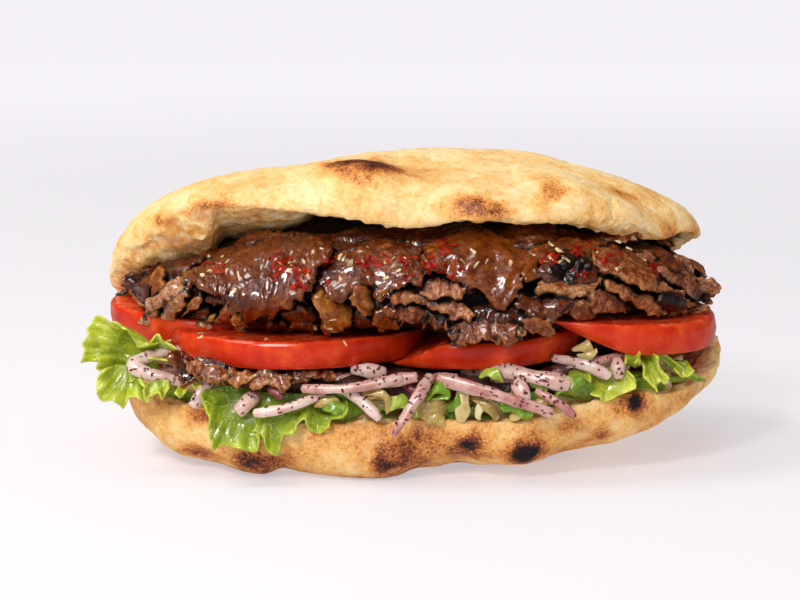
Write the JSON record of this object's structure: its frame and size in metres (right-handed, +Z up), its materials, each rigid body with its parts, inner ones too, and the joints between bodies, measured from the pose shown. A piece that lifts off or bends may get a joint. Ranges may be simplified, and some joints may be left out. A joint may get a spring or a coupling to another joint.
{
  "type": "doner kebab sandwich",
  "caption": "Oval flatbread loaf split along the front and filled with shaved doner meat, thick tomato slices, sumac onions, curly lettuce and shredded salad.",
  "frame": {"origin": "middle of the loaf's flat base, on the surface that the sandwich rests on", "axes": "+X along the loaf to the right as seen from its open side, +Y from the open side to the fold at the back, +Z up"},
  "size_m": [0.1934, 0.1175, 0.089],
  "materials": {
    "bread": "matte baked crust with scorched spots",
    "tomato": "glossy wet skin",
    "meat": "roasted, glazed with fat and juice",
    "onion": "moist, with sumac flakes",
    "lettuce": "waxy leaf",
    "salad": "moist shreds"
  },
  "bodies": {
    "root": {"bread": "bread", "tomato_front_left": "tomato", "tomato_right": "tomato", "tomato_middle": "tomato", "tomato_back_left": "tomato", "meat_heap": "meat", "meat_slipped": "meat", "onion_heap": "onion", "lettuce_left": "lettuce", "lettuce_front": "lettuce", "lettuce_right": "lettuce", "salad_bed": "salad"}
  },
  "joints": []
}
